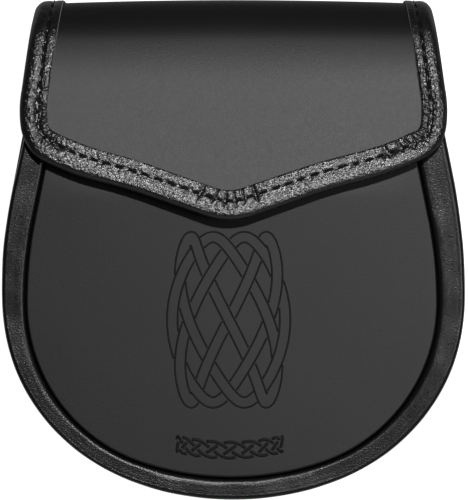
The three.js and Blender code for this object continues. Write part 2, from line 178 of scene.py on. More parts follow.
class Path:
    """Runs of a length and a bend from a starting place of x, y and heading."""

    def __init__(self, start, runs):
        self.runs = runs
        self.starts = [start]
        self.begins = [0.0]
        for length, bend in runs:
            self.starts.append(advance(self.starts[-1], bend, length))
            self.begins.append(self.begins[-1] + length)
        self.length = self.begins[-1]

    def at(self, distance):
        distance = np.asarray(distance, float)
        run = np.searchsorted(self.begins[1:-1], distance, side="right")
        start = np.moveaxis(np.array(self.starts)[run], -1, 0)
        bend = np.array([bend for _, bend in self.runs])[run]
        return advance(start, bend, distance - np.array(self.begins)[run])

    def end(self):
        return self.starts[-1]

    def points(self, count):
        return columns(*self.at(np.linspace(0, self.length, count))[:2])

    def inset(self, amount):
        x, y, heading = self.starts[0]
        start = (x - amount * math.sin(heading), y + amount * math.cos(heading), heading)
        runs = [(length * (1 - amount * bend), bend / (1 - amount * bend)) for length, bend in self.runs]
        return Path(start, runs)

    def then(self, *runs):
        return Path(self.starts[0], [*self.runs, *runs])

    def up_to(self, height):
        """The path carried straight on to a height."""
        _, y, heading = self.end()
        return self.then(straight((height - y) / math.sin(heading)))


def round_bottomed(shape, top_y):
    """The right half of a round-bottomed outline, from the middle of its bottom up to a height."""
    sine = math.sin(math.radians(shape["bottom_turn"]))
    hip_radius = (shape["half_width"] - shape["bottom_radius"] * sine) / (1 - sine)
    runs = [
        arc(shape["bottom_radius"], shape["bottom_turn"]),
        arc(hip_radius, 90 - shape["bottom_turn"]),
        arc(shape["side_radius"], shape["side_turn"]),
    ]
    return Path((0.0, shape["bottom_y"], 0.0), runs).up_to(top_y)


# Heights of the faces

BRIDGE_Y = KEEPER["low_y"] + KEEPER["tab"] + KEEPER["ramp"]
BACK_TILT = math.atan((KEEPER["thickness"] + KEEPER["strap_gap"]) / (BRIDGE_Y - POUCH["bottom_y"]))


def back_z(y):
    return (y - POUCH["bottom_y"]) * math.tan(BACK_TILT)


def back_inside_z(y):
    return back_z(y) + BACK["thickness"] / math.cos(BACK_TILT)


def front_z(y):
    bent = np.maximum(y - FRONT["bend_y"], 0) / (FRONT["top_y"] - FRONT["bend_y"])
    return FRONT["z"] - FRONT["mouth_drop"] * bent**2


def shoulder_z(y):
    """The front falls away under the fold at both ends of the gusset."""
    return front_z(y) - GUSSET["fall"] * smoothstep(y, GUSSET["fall_from_y"], GUSSET["top_y"])


def middle_z(y):
    return (front_z(y) + back_inside_z(y)) / 2


# The gusset in section: share of the way out from the groove to the pouch's edge, a distance more, the
# face whose height it follows, and its rise above that.
GUSSET_SKIN = [
    (0.0, -7.0, front_z, -2.5), (0.0, 0.0, front_z, -2.5), (0.0, 0.2, front_z, -1.2),
    (0.0, 0.45, front_z, -0.2), (0.0, 0.95, front_z, 0.33), (0.0, 1.65, shoulder_z, 0.62),
    (0.0, 2.6, shoulder_z, 0.7), (0.5, 0.0, shoulder_z, 0.73), (0.76, 0.0, shoulder_z, 0.78),
    (0.91, 0.0, shoulder_z, 0.72), (0.975, 0.0, shoulder_z, 0.1), (1.0, 0.0, shoulder_z, -1.8),
    (1.0, 0.0, middle_z, 0.0), (1.0, -0.5, back_inside_z, 6.5), (1.0, -1.8, back_inside_z, 1.8),
    (1.0, -3.5, back_inside_z, GAP), (1.0, -10.0, back_inside_z, GAP),
]
GUSSET_SPANS = [3, 3, 4, 4, 4, 4, 5, 5, 5, 4, 4, 4, 4, 4, 3, 3]

# The sheet of the back, the fold and the flap, in profile from its crown

FOLD_ARCS = [arc(10, 40), arc(35, 18), arc(30, 12), arc(110, 11)]
FLAP_RIM = [arc(28, 19.3), straight(24.4), arc(213, -5.3), arc(121, 11.9), arc(18.4, 57.1), arc(50, 16.5)]
REAR_BEND_Y = FOLD_TOP - BACK["fold_radius"] * (1 - math.sin(BACK_TILT))
CROWN = (FOLD_TOP, back_z(REAR_BEND_Y) + BACK["fold_radius"] * math.cos(BACK_TILT))
REAR_ARC = arc(BACK["fold_radius"], math.degrees(BACK_TILT) - 90)
REAR_LENGTH = REAR_ARC[0]
REAR_PROFILE = Path((*CROWN, math.radians(-90)), [REAR_ARC, straight(REAR_BEND_Y - POUCH["bottom_y"])])
FOLD_PROFILE = Path((*CROWN, math.radians(90)), FOLD_ARCS)
FOLD_LENGTH = FOLD_PROFILE.length
FLAP_FLAT = (FOLD_PROFILE.end()[0] - FLAP["tip_y"]) / math.cos(math.radians(FLAP["tilt"]))
FLAP_LENGTH = FOLD_LENGTH + FLAP_FLAT
FLAP_PROFILE = FOLD_PROFILE.then(straight(FLAP_FLAT))


def fold_sag(x, y):
    """How far the crown falls away towards the ends of the fold."""
    weight = np.maximum(y - FOLD_SAG["from_y"], 0) / (FOLD_TOP - FOLD_SAG["from_y"])
    end = np.maximum(np.abs(x) - FOLD_SAG["end_half"], 0) / FOLD_SAG["end_length"]
    crown = FOLD_SAG["crown"] * (x / FOLD_SAG["crown_half"]) ** 2
    return (crown + FOLD_SAG["end_drop"] * end**2) * weight**2


def flap_lean(y):
    """How far the flap hangs to one side, which only its tip does."""
    share = (FLAP_LEAN["from_y"] - y) / (FLAP_LEAN["from_y"] - FLAP_LEAN["to_y"])
    return FLAP_LEAN["tip"] * np.clip(share, 0, 1)


def on_sheet(x, from_crown, height):
    """Points of the sheet, across at x, a distance from the crown and a height off its outer face."""
    x, from_crown, height = np.broadcast_arrays(x, from_crown, height)
    flap_y, flap_z, flap_heading = FLAP_PROFILE.at(np.maximum(from_crown, 0))
    rear_y, rear_z, rear_heading = REAR_PROFILE.at(np.maximum(-from_crown, 0))
    on_flap = from_crown >= 0
    profile_y = np.where(on_flap, flap_y, rear_y)
    y = profile_y + np.where(on_flap, np.sin(flap_heading), -np.sin(rear_heading)) * height
    z = np.where(on_flap, flap_z, rear_z)
    z = z + np.where(on_flap, -np.cos(flap_heading), np.cos(rear_heading)) * height
    lean = np.where(on_flap, flap_lean(flap_y), 0)
    return columns(x + lean, y - fold_sag(x, profile_y), z)


def flap_edge(inset):
    """The flap's rim on the flat sheet, from the middle of its tip up to the crown: its lower edge, a
    straight side and a lean inwards over the fold."""
    side = Path((0.0, 0.0, 0.0), FLAP_RIM).inset(inset).up_to(FLAP_FLAT)
    bend = arc(FOLD_LEAN["radius"], 90 + FOLD_LEAN["degrees"] - math.degrees(side.end()[2]))
    return side.then(bend).up_to(FLAP_LENGTH)


# Noise


def hashed(cell, seed):
    """A number from 0 to 1 for each row of three whole numbers."""
    mixed = cell[..., 0] * 73856093 ^ cell[..., 1] * 19349663 ^ cell[..., 2] * 83492791 ^ (seed * 40503)
    mixed = (mixed ^ (mixed >> 13)) * 1274126177
    return ((mixed ^ (mixed >> 16)) & 0xFFFFFF) / 0x1000000


def waves(points, size, seed):
    """Smooth noise from -1 to 1, with its bumps about a size apart."""
    scaled = points / size
    base = np.floor(scaled).astype(np.int64)
    share = smoothstep(scaled - base, 0, 1)
    total = 0
    for corner in itertools.product((0, 1), repeat=3):
        weight = np.prod(np.where(corner, share, 1 - share), axis=-1)
        total = total + weight * hashed(base + np.array(corner), seed)
    return total * 2 - 1


def pebbles(points, size, seed):
    """The height of a pebbled grain, from 0 in its creases to 1 on top of each pebble."""
    scaled = points / size
    base = np.floor(scaled).astype(np.int64)
    nearest = np.full(points.shape[:-1], 9.0)
    second = nearest.copy()
    for offset in itertools.product((-1, 0, 1), repeat=3):
        cell = base + np.array(offset)
        centre = cell + columns(*(hashed(cell, seed + axis) for axis in range(3)))
        distance = lengths(scaled - centre)
        second = np.minimum(second, np.maximum(nearest, distance))
        nearest = np.minimum(nearest, distance)
    return smoothstep(second - nearest, 0, 0.5) * (1 - 0.5 * nearest)


# Meshes


def add_object(name, data):
    made = bpy.data.objects.new(name, data)
    bpy.context.scene.collection.objects.link(made)
    return made


def make_object(name, points, faces, materials, face_material=None):
    mesh = bpy.data.meshes.new(name)
    mesh.from_pydata((np.asarray(points).reshape(-1, 3) * MM).tolist(), [], faces)
    mesh.shade_smooth()
    for material in materials:
        mesh.materials.append(material)
    if face_material is not None:
        mesh.polygons.foreach_set("material_index", face_material)
    mesh.update()
    return add_object(name, mesh)


def loft(rows):
    """Faces of a body whose rows are closed loops of points, with its two ends capped."""
    count, around = rows.shape[:2]
    faces = []
    for row in range(count - 1):
        here, there = row * around, (row + 1) * around
        for i in range(around):
            j = (i + 1) % around
            faces.append((here + i, here + j, there + j, there + i))
    faces.append(tuple(reversed(range(around))))
    faces.append(tuple(range((count - 1) * around, count * around)))
    return faces


def resample(points, step):
    """The same line, with points about a step apart."""
    along = np.concatenate([[0], np.cumsum(lengths(np.diff(points, axis=0)))])
    targets = np.linspace(0, along[-1], max(int(along[-1] / step), 2) + 1)
    return columns(*(np.interp(targets, along, column) for column in points.T))


def curve_through(points, per_span):
    """A smooth line through points on the second last axis, with a number of steps for each span."""
    before_first = 2 * points[..., :1, :] - points[..., 1:2, :]
    after_last = 2 * points[..., -1:, :] - points[..., -2:-1, :]
    padded = np.concatenate([before_first, points, after_last], axis=-2)
    gaps = lengths(np.diff(padded, axis=-2))[..., None] + 1e-9
    spans = []
    for i, steps in enumerate(per_span):
        a, b, c, d = (padded[..., i + k:i + k + 1, :] for k in range(4))
        before, reach, after = (gaps[..., i + k:i + k + 1, :] for k in range(3))
        slope_b = ((b - a) / before * reach + (c - b) / reach * before) / (before + reach) * reach
        slope_c = ((c - b) / reach * after + (d - c) / after * reach) / (reach + after) * reach
        t = (np.arange(steps) / steps)[:, None]
        spans.append(
            (2 * t**3 - 3 * t**2 + 1) * b + (t**3 - 2 * t**2 + t) * slope_b
            + (3 * t**2 - 2 * t**3) * c + (t**3 - t**2) * slope_c
        )
    return np.concatenate([*spans, points[..., -1:, :]], axis=-2)


def both_halves(parts, step):
    """A closed line, with points about a step apart, from the parts of its right half."""
    right = resample(np.concatenate(parts), step)
    return np.concatenate([right, (right * [-1, 1])[-2:0:-1]])


def left_normals(loop):
    """Unit vectors to the left of a closed line of points."""
    return turned_left(unit(np.roll(loop, -1, axis=0) - np.roll(loop, 1, axis=0)))


def inside(points, loop):
    """Which points lie inside a closed line."""
    x, y = points.T[..., None]
    (from_x, from_y), (to_x, to_y) = loop.T, np.roll(loop, -1, axis=0).T
    crosses = (from_y > y) != (to_y > y)
    rise = np.where(from_y == to_y, 1e-9, to_y - from_y)
    meets = from_x + (y - from_y) * (to_x - from_x) / rise
    return (crosses & (x < meets)).sum(axis=1) % 2 == 1


def fill_points(loop, rows, step):
    """Staggered points inside a loop, on the given rows, clear of its rim."""
    low, high = loop[:, 0].min(), loop[:, 0].max()
    found = []
    for i, y in enumerate(rows):
        x = np.arange(low + (i % 2) * step / 2, high, step)
        row = columns(x, np.full_like(x, y))
        row = row[inside(row, loop)]
        if len(row):
            found.append(row[lengths(row[:, None] - loop).min(axis=1) > 0.6 * step])
    return np.concatenate(found)


def cut_sheet(name, materials, loop, edge, surface, rows, step):
    """A piece cut from a sheet, with its inner face of the second material. Edge is the section of its rim,
    as insets and heights from its outer face round to its inner face, and surface puts points of the
    flat sheet in place."""
    inward = left_normals(loop)
    rings = [surface(loop + inward * inset, height) for inset, height in edge]
    field_loop = loop + inward * edge[0][0]
    field = fill_points(field_loop, rows, step)
    around, inner = len(loop), len(field)
    corners = [Vector(p) for p in np.concatenate([field_loop, field])]
    rim_edges = [(i, (i + 1) % around) for i in range(around)]
    _, _, triangles, sources, _, _ = delaunay_2d_cdt(corners, rim_edges, [], 1, 1e-5)
    triangles = [[sources[v][0] for v in triangle] for triangle in triangles]
    points = np.concatenate([*rings, surface(field, edge[0][1]), surface(field, edge[-1][1])])
    last, top, bottom = (len(rings) - 1) * around, len(rings) * around, len(rings) * around + inner
    outer = [tuple(v if v < around else top + v - around for v in t) for t in triangles]
    rim = []
    for ring in range(len(rings) - 1):
        for i, j in rim_edges:
            rim.append(tuple(ring * around + v for v in (i, around + i, around + j, j)))
    lining = [tuple(last + v if v < around else bottom + v - around for v in reversed(t)) for t in triangles]
    skins = [0] * (len(outer) + len(rim)) + [1] * len(lining)
    return make_object(name, points, [*outer, *rim, *lining], materials, skins)


def rounded_edge(thickness, radius):
    """Insets and heights round the burnished edge of a sheet."""
    turns = np.linspace(0, math.pi / 2, 5)
    top = [(radius * (1 - math.sin(a)), -radius * (1 - math.cos(a))) for a in turns]
    return [*top, *[(inset, -thickness - height) for inset, height in reversed(top)]]


def joined_mesh(bodies):
    """Points and faces of many lofted bodies together."""
    points, faces = [], []
    for rows in bodies:
        first = sum(len(p) for p in points)
        faces += [tuple(first + v for v in face) for face in loft(rows)]
        points.append(rows.reshape(-1, 3))
    return np.concatenate(points), faces


def stitch(start, seam):
    """Places along a stitch, and how far it sinks at each of them: only its ends go down."""
    at = np.linspace(start, start + STITCH["length"], seam["points"])
    return at, seam["dip"] * np.abs(np.linspace(-1, 1, seam["points"])) ** 5


def thread(line, up):
    """One stitch of twisted thread: the points along it, and the direction away from the leather there."""
    forward = unit(np.gradient(line, axis=0))
    side = unit(np.cross(forward, up))
    lift = np.cross(side, forward)
    turn = np.linspace(0, 2 * np.pi, THREAD["around"], endpoint=False)
    along = np.linspace(0, 1, len(line))[:, None]
    wound = turn[None] - along * THREAD["twist"] * 2 * np.pi
    ply = 1 + THREAD["ply_depth"] * np.cos(THREAD["plies"] * wound)
    taper = np.sqrt(np.clip(1 - (2 * along - 1) ** 6, 0.02, 1))
    size = (STITCH["radius"] * ply * taper)[..., None]
    ring = side[:, None] * np.cos(turn)[None, :, None] + lift[:, None] * np.sin(turn)[None, :, None]
    return line[:, None] + ring * size


def sewn_on_sheet(x, from_crown, height):
    """A stitch's line on the sheet, and the direction away from the leather along it."""
    return on_sheet(x, from_crown, height), on_sheet(x, from_crown, 1.0) - on_sheet(x, from_crown, 0.0)


def stitching(name, stitches, material):
    return make_object(name, *joined_mesh(thread(line, up) for line, up in stitches), [material])


# The flap's binding


def binding_line(step):
    """Stations along the whole rim, from the right end behind the fold round the tip to the left end: the
    place on the flat sheet, the way in from it, how stretched the strip is and the distance along."""
    rim = flap_edge(0)
    distance = np.linspace(0, rim.length, int(rim.length / step))
    x, y, heading = rim.at(distance)
    from_crown = FLAP_LENGTH - y
    straighten = smoothstep(from_crown, FOLD_LENGTH, FOLD_LENGTH + 12)
    in_x = -1 + straighten * (1 - np.sin(heading))
    in_down = -np.cos(heading) * straighten
    rear_end = round_bottomed(POUCH, REAR_BEND_Y).end()[0] + FLAP["edge_inset"]
    share = np.linspace(0, 1, int(REAR_LENGTH / step) + 1)[1:]
    rear = [
        x[-1] + (rear_end - x[-1]) * share, -REAR_LENGTH * share, np.full_like(share, -1),
        np.zeros_like(share), rim.length + REAR_LENGTH * share,
    ]
    right = np.concatenate([[x, from_crown, in_x, in_down, distance], rear], axis=1)
    whole = np.concatenate([right[:, :0:-1] * [[-1], [1], [-1], [1], [-1]], right], axis=1)
    line = dict(zip(("x", "from_crown", "in_x", "in_down", "along"), whole))
    line["upright"] = smoothstep(np.abs(line["in_x"]), 0.55, 0.95)
    side_width = np.where(line["along"] < 0, SIDE_WIDTH["left"], SIDE_WIDTH["right"])
    line["width"] = 1 + (side_width - 1) * line["upright"]
    line["stretched"] = smoothstep(FOLD_LENGTH - line["from_crown"], 0, FOLD_LENGTH / 2)
    return line


def in_from_rim(line, inset):
    """Places on the flat sheet, an inset across the strip from stations of its line."""
    reach = inset * line["width"]
    return line["x"] + line["in_x"] * reach, line["from_crown"] + line["in_down"] * reach


def gather_places():
    """Distances along the rim of the gathers, with their depth, their slant and how far they pull the seam
    down. They lie closer together and pull harder round the corners than at the tip."""
    random = np.random.default_rng(SEED)
    tip = np.arange(0.5, GATHERED["tip"] / STITCH["pitch"]) * STITCH["pitch"]
    places = []
    for side, stretch in ((-1, GATHERED["left"]), (1, GATHERED["right"])):
        corner = np.arange(*stretch, STITCH["pitch"] / 2)
        for distances, kind in ((tip, GATHERS["tip"]), (corner, GATHERS["corner"])):
            for from_tip in distances:
                at = side * from_tip + random.uniform(-kind["shift"], kind["shift"])
                depth = random.uniform(*kind["depth"])
                slant = random.uniform(-kind["slant"], kind["slant"])
                places.append((at, depth, slant, kind["pull"]))
    return places


def stitch_starts(length):
    """Starts of the stitches on one side of a seam that is centred on a stitch."""
    return np.arange(-STITCH["length"] / 2, length - STITCH["length"], STITCH["pitch"])


def creases(along, inset, base):
    """How far the gathers press the strip in, and how rumpled it is round them, from 0 to 1."""
    gathered = np.zeros_like(inset)
    rumpled = np.zeros_like(inset)
    off_seam = inset - BINDING_SEAM["inset"]
    inner = 1 - 0.25 * smoothstep(inset, 10.0, 12.0)
    reach = np.where(off_seam > 0, inner, bell(off_seam, CREASE["outward"]))
    width = CREASE["narrow"] + CREASE["wider"] * bell(off_seam, CREASE["seam_width"])
    for at, depth, slant, pull in gather_places():
        near = np.abs(along - at) < CREASE["near"]
        offset = np.abs(along[near] - at - slant * off_seam[near])
        crease = np.exp(-CREASE["steep"] * offset / width[near])
        gathered[near] = np.maximum(gathered[near], CREASE["depth"] * depth * crease * reach[near])
        rumpled[near] = np.maximum(rumpled[near], pull * bell(offset, RUMPLE_WIDTH))
    pit = PIT["depth"] + PIT["vary"] * waves(base, PIT["vary_size"], SEED + 6)
    pit = pit * np.exp(-np.abs(off_seam) / PIT["width"])
    return np.maximum(gathered, rumpled * pit), rumpled


def seam_valley(along, inset):
    """How far the stitches press the strip in. Between two of them it swells a little."""
    half = STITCH["length"] / 2
    from_middle = np.abs((np.abs(along) + half) % STITCH["pitch"] - half)
    from_middle = np.minimum(from_middle, STITCH["pitch"] - from_middle)
    under = 1 - smoothstep(from_middle, half - 0.3, half + 0.5)
    valley = bell(inset - BINDING_SEAM["inset"], VALLEY["width"])
    return valley * (VALLEY["under_stitch"] * under - VALLEY["between"] * (1 - under))


def binding_relief(along, inset, stretched, base):
    """How far the strip's face is pressed in by gathers and stitches, and how lumpy it is."""
    gathered, rumpled = creases(along, inset, base)
    fine_depth = LUMPS["fine_depth"] + LUMPS["rumpled_depth"] * rumpled
    lumps = LUMPS["depth"] * waves(base, LUMPS["size"], SEED + 1)
    lumps = lumps + fine_depth * waves(base, LUMPS["fine_size"], SEED + 2)
    calm = 1 - 0.6 * stretched
    on_face = smoothstep(inset, 0.2, 2.2)
    return on_face * (calm * (lumps - gathered) - seam_valley(along, inset))


def flap_binding(material, edge_highlight_material):
    line = binding_line(step=0.4)
    face = np.array(BINDING_FACE)
    bottom, side, fold = (curve_through(face[:, [0, k]], BINDING_SPANS) for k in (1, 2, 3))
    lining = curve_through(np.array(BINDING_LINING), LINING_SPANS)
    column = {key: value[:, None] for key, value in line.items()}

    def place(inset, height):
        return on_sheet(*in_from_rim(column, inset), height)

    along, inset = np.broadcast_arrays(column["along"], bottom[:, 0])
    height = bottom[:, 1] + (side - bottom)[:, 1] * column["upright"]
    height = height + (fold[:, 1] - height) * column["stretched"]
    relief = binding_relief(along, inset, column["stretched"], place(inset, height))
    off_seam = np.abs(inset - BINDING_SEAM["inset"])
    relief = relief - SIDE_VALLEY["depth"] * column["upright"] * np.exp(-off_seam / SIDE_VALLEY["width"])
    height = height + relief
    height = np.where(inset > 2.4, np.maximum(height, LINING_HEIGHT + THINNEST), height)
    base = place(inset, height)
    visible = smoothstep(inset, 1.0, 2.2) * (height > -2)
    grain = (pebbles(base, GRAIN["size"], SEED) - 0.5) * GRAIN["depth"]
    grain = grain + GRAIN["wave_depth"] * waves(base, GRAIN["wave_size"], SEED + 5)
    coarse = column["upright"] * (1 - bell(off_seam, 0.9))
    more = coarse * (GRAIN["side_more"] - GRAIN["fold_less"] * column["stretched"])
    skin = place(inset, height + grain * (1 + more) * visible)
    rows = np.concatenate([skin, place(lining[:, 0], lining[:, 1])], axis=1)
    faces = loft(rows)
    around = rows.shape[1]
    caps = (len(rows) - 1) * around
    # The first spans of the section, the strip's steep inner edge, take the pale edge material: a painted
    # highlight line that also lightens the shade there.
    pale = [int(i < caps and i % around < BINDING_SPANS[0]) for i in range(len(faces))]
    return make_object("binding_strip", rows, faces, [material, edge_highlight_material], pale)


def binding_stitches(material):
    line = binding_line(step=0.3)
    starts = stitch_starts(line["along"].max() - 4)
    stitches = []
    for start in [*starts, *(-starts[1:] - STITCH["length"])]:
        at, dip = stitch(start, BINDING_SEAM)
        here = {key: np.interp(at, line["along"], value) for key, value in line.items()}
        places = in_from_rim(here, BINDING_SEAM["inset"])
        stitches.append(sewn_on_sheet(*places, BINDING_SEAM["height"] - dip))
    return stitching("binding_stitches", stitches, material)


# The back and flap


def back_from_crown(y):
    """How far a height of the back is from the crown along the sheet, where the back is negative."""
    return -REAR_LENGTH - (REAR_BEND_Y - y) / math.cos(BACK_TILT)


def sheet_loop(step):
    x, y = round_bottomed(POUCH, REAR_BEND_Y).points(400).T
    edge_x, edge_y = flap_edge(FLAP["edge_inset"]).points(400)[::-1].T
    return both_halves([columns(x, back_from_crown(y)), columns(edge_x, FLAP_LENGTH - edge_y)], step)


def unevenness(flat, size, seed):
    """How far a flat sheet of leather swells and dips by itself."""
    return 0.06 * waves(columns(flat[:, 0], flat[:, 1], 0 * flat[:, 0]), size, seed)


def sheet_place(flat, height):
    return on_sheet(flat[:, 0], flat[:, 1], height + unevenness(flat, 31.0, SEED + 3))


def back_and_flap(face, flesh):
    loop = sheet_loop(step=1.3)
    bottom = loop[:, 1].min()
    rows = np.concatenate([
        np.arange(bottom + 1, -REAR_LENGTH - 2, 2.6),
        np.arange(-REAR_LENGTH - 2, FOLD_LENGTH + 4, 0.9),
        np.arange(FOLD_LENGTH + 4, FLAP_LENGTH, 2.2),
    ])
    edge = rounded_edge(BACK["thickness"], radius=0.8)
    return cut_sheet("back_and_flap_leather", [face, flesh], loop, edge, sheet_place, rows, step=2.3)


def back_stitches(material):
    """The seam that holds the gusset, seen as a row of stitches round the back."""
    seam = round_bottomed(POUCH, REAR_BEND_Y - 6).inset(BACK_SEAM["inset"])
    starts = stitch_starts(seam.length)
    stitches = []
    for side in (-1, 1):
        for start in starts if side > 0 else starts[1:]:
            at, dip = stitch(start, BACK_SEAM)
            x, y, _ = seam.at(np.abs(at))
            x = side * np.where(at < 0, -x, x)
            stitches.append(sewn_on_sheet(x, back_from_crown(y), BACK_SEAM["height"] - dip))
    return stitching("back_seam_stitches", stitches, material)


# The front and the gusset


def paired_stations(first, second, step):
    """Places on two paths at like shares of like runs."""
    pairs = []
    for run, (length, _) in enumerate(second.runs):
        count = max(int(length / step), 2)
        share = np.arange(count + (run == len(second.runs) - 1)) / count
        pairs.append((first.begins[run] + share * first.runs[run][0], second.begins[run] + share * length))
    near, far = (np.concatenate(column) for column in zip(*pairs))
    return first.at(near), second.at(far)


def offset_line(points, distance):
    """Lines of points moved to their right, mitred at the corners."""
    steps = unit(np.diff(points, axis=1))
    mitre = np.concatenate([steps[:, :1], steps], axis=1) + np.concatenate([steps, steps[:, -1:]], axis=1)
    stretch = 2 * distance / (mitre**2).sum(axis=-1)
    return points - turned_left(mitre) * stretch[..., None]


def gusset_band(material):
    groove, edge = (round_bottomed(shape, GUSSET["top_y"]) for shape in (GROOVE, POUCH))
    (groove_x, groove_y, _), (edge_x, edge_y, _) = paired_stations(groove, edge, 1.15)
    rows = []
    for side in (-1, 1):
        foot = columns(side * groove_x + GROOVE_CENTRE_X, groove_y)
        out = columns(side * edge_x, edge_y) - foot
        reach = lengths(out)
        out /= reach[:, None]
        shown = smoothstep(groove_y, SETBACK["from_y"], SETBACK["to_y"]) if side < 0 else 0
        width = reach - SETBACK["usual"] - (SETBACK["upper_left"] - SETBACK["usual"]) * shown
        section = []
        for share, plus, above, rise in GUSSET_SKIN:
            distance = share * width + plus
            section.append(columns(distance, above(foot[:, 1] + out[:, 1] * distance) + rise))
        section = np.stack(section, axis=1)
        inner = offset_line(section, GUSSET["thickness"])
        skins = [curve_through(line, GUSSET_SPANS) for line in (section, inner)]
        closed = np.concatenate([skins[0], skins[1][:, ::-1]], axis=1)
        flat = foot[:, None] + out[:, None] * closed[..., :1]
        placed = np.concatenate([flat, closed[..., 1:]], axis=-1)
        rows.append(placed[::-1][:-1] if side < 0 else placed)
    rows = np.concatenate(rows)
    count = rows.shape[1] // 2
    outer, inner = rows[:, :count], rows[:, ::-1][:, :count]
    across = np.linspace(0, 1, count)
    free = smoothstep(across, 0.2, 0.4) * (1 - smoothstep(across, 0.7, 0.85))
    swell = 0.35 * waves(outer, 26.0, SEED + 8) + 0.12 * waves(outer, 9.0, SEED + 9)
    outer += unit(outer - inner) * swell[..., None] * free[:, None]
    return make_object("gusset_band", rows, loft(rows), [material])


def bulge(x, y):
    """How far the middle of the front swells out over what the pouch holds, below its mouth."""
    across = np.clip(1 - (x / FRONT_BULGE["half_width"]) ** 2, 0, 1)
    return FRONT_BULGE["rise"] * across * (1 - smoothstep(y, FRONT_BULGE["full_y"], FRONT_BULGE["flat_y"]))


def front_place(flat, height):
    y = np.minimum(flat[:, 1], FRONT["top_y"])
    z = front_z(y) + bulge(flat[:, 0], y) + height + unevenness(flat, 34.0, SEED + 4)
    return columns(flat[:, 0] + GROOVE_CENTRE_X, y, z)


def front_loop(step):
    """The front panel's outline, whose mouth corners are rounded."""
    side = round_bottomed(GROOVE, FRONT["top_y"]).inset(FRONT_EDGE["inset"])
    _, _, heading = side.end()
    radius = FRONT_EDGE["corner"]
    shoulder_y = FRONT["top_y"] - radius * (1 + math.cos(heading))
    right = side.points(500)
    right = right[right[:, 1] < shoulder_y]
    turn = np.linspace(heading, math.pi, 12)
    corner = columns(np.sin(turn), -np.cos(turn)) * radius
    corner += right[-1] - corner[0]
    return both_halves([right, corner[1:], [[0, corner[-1, 1]]]], step)


def front_leather(face, flesh):
    """The front panel, whose margin is skived thin and turns down into the groove."""
    width, drop, thickness = FRONT_EDGE["width"], FRONT_EDGE["drop"], FRONT["thickness"]
    skived = [(width * share, -drop * (1 - share) ** 3) for share in np.linspace(1, 0, 9)]
    edge = [*skived, (0.0, -drop - 0.4), (0.25, 0.1 - thickness), (width, -thickness)]
    loop = front_loop(step=1.2)
    rows = np.arange(loop[:, 1].min(), FRONT["top_y"], 2.0)
    return cut_sheet("front_leather", [face, flesh], loop, edge, front_place, rows, step=2.2)


# The ornament on the front: a generic interlace with a flat plait under it

KNOT = {
    "centre": (-1.2, -28.0), "half": (22.5, 33.0), "turns": (3, 4), "phase": 90.0, "taper": 0.28, "sag": 0.0,
    "strand": 4.2, "line": 0.75,
}
PLAIT = {
    "centre": (-0.8, -80.0), "half": (21.0, 3.2), "turns": (2, 9), "phase": 45.0, "taper": 0.0, "sag": 2.4,
    "strand": 1.25,
}
STRAND = {"points": 1500, "clear": 0.35, "proud": 0.03, "depth": 0.12}


def closed_weave(shape):
    """Points of a closed Lissajous curve, and unit vectors to its left."""
    t = np.linspace(0, 2 * np.pi, STRAND["points"], endpoint=False)
    across = np.cos(shape["turns"][0] * t)
    up = np.cos(shape["turns"][1] * t + math.radians(shape["phase"]))
    x = shape["half"][0] * across * (1 - shape["taper"] * up**2)
    y = shape["half"][1] * up + shape["sag"] * (x / shape["half"][0]) ** 2
    line = columns(x, y) + shape["centre"]
    return line, left_normals(line)


def crossed(first, second):
    return first[..., 0] * second[..., 1] - first[..., 1] * second[..., 0]


def crossings(line):
    """Pairs of places where a closed line crosses itself, as numbers of steps along it."""
    step = np.roll(line, -1, axis=0) - line
    between = line[None] - line[:, None]
    turn = crossed(step[:, None], step[None])
    turn[np.abs(turn) < 1e-12] = 1e-12
    here, there = crossed(between, step[None]) / turn, crossed(between, step[:, None]) / turn
    meet = (here >= 0) & (here < 1) & (there >= 0) & (there < 1)
    first, second = np.nonzero(np.triu(meet, 3))
    apart = second - first < len(line) - 3
    return [(i + here[i, j], j + there[i, j]) for i, j in zip(first[apart], second[apart])]


def passes_under(line):
    """Where the strand passes under itself, at every second crossing, and the place of the strand above."""
    pairs = crossings(line)
    visits = sorted((at, k, which) for k, pair in enumerate(pairs) for which, at in enumerate(pair))
    return [(at, pairs[k][1 - which]) for at, k, which in visits[1::2]]


def cut_runs(edge, line, own, reach, window):
    """The stretches of a strand's edge, its own half width off the centre line, that no other turn covers
    and no strand above comes within reach of. A window of points on either side is looked at."""
    count = len(line)
    around = np.arange(-window, window + 1)
    shown = np.ones(count, bool)
    for i in range(count):
        shown[i] = lengths(line[(i + around) % count] - edge[i]).min() > 0.97 * own
    for under, over in passes_under(line):
        near = (int(under) + around) % count
        cover = line[(int(over) + around) % count]
        distance = lengths(edge[near][:, None] - cover).min(axis=1)
        shown[near[distance < reach]] = False
    if shown.all():
        return [np.concatenate([edge, edge[:1]])]
    order = (int(np.argmin(shown)) + np.arange(count)) % count
    runs = [[edge[i] for i in run] for seen, run in itertools.groupby(order, lambda i: shown[i]) if seen]
    return [np.array(run) for run in runs if len(run) > 3]


def ribbon(run, width):
    """A thin strip along a line on the front panel."""
    run = resample(run, 0.6)
    left = turned_left(unit(np.gradient(run, axis=0))) * width / 2
    top, foot = STRAND["proud"], -STRAND["depth"]
    corners = [(run + left, top), (run + left, foot), (run - left, foot), (run - left, top)]
    return np.stack([front_place(flat, height) for flat, height in corners], axis=1)


def front_ornament(material):
    line, left = closed_weave(KNOT)
    half = KNOT["strand"] / 2
    strips = []
    for side in (-half, half):
        runs = cut_runs(line + left * side, line, half, half + STRAND["clear"], window=45)
        strips += [ribbon(run, KNOT["line"]) for run in runs]
    line, _ = closed_weave(PLAIT)
    runs = cut_runs(line, line, -1.0, PLAIT["strand"] / 2 + STRAND["clear"], window=30)
    strips += [ribbon(run, PLAIT["strand"]) for run in runs]
    return make_object("front_ornament", *joined_mesh(strips), [material])


# The keeper and the stud


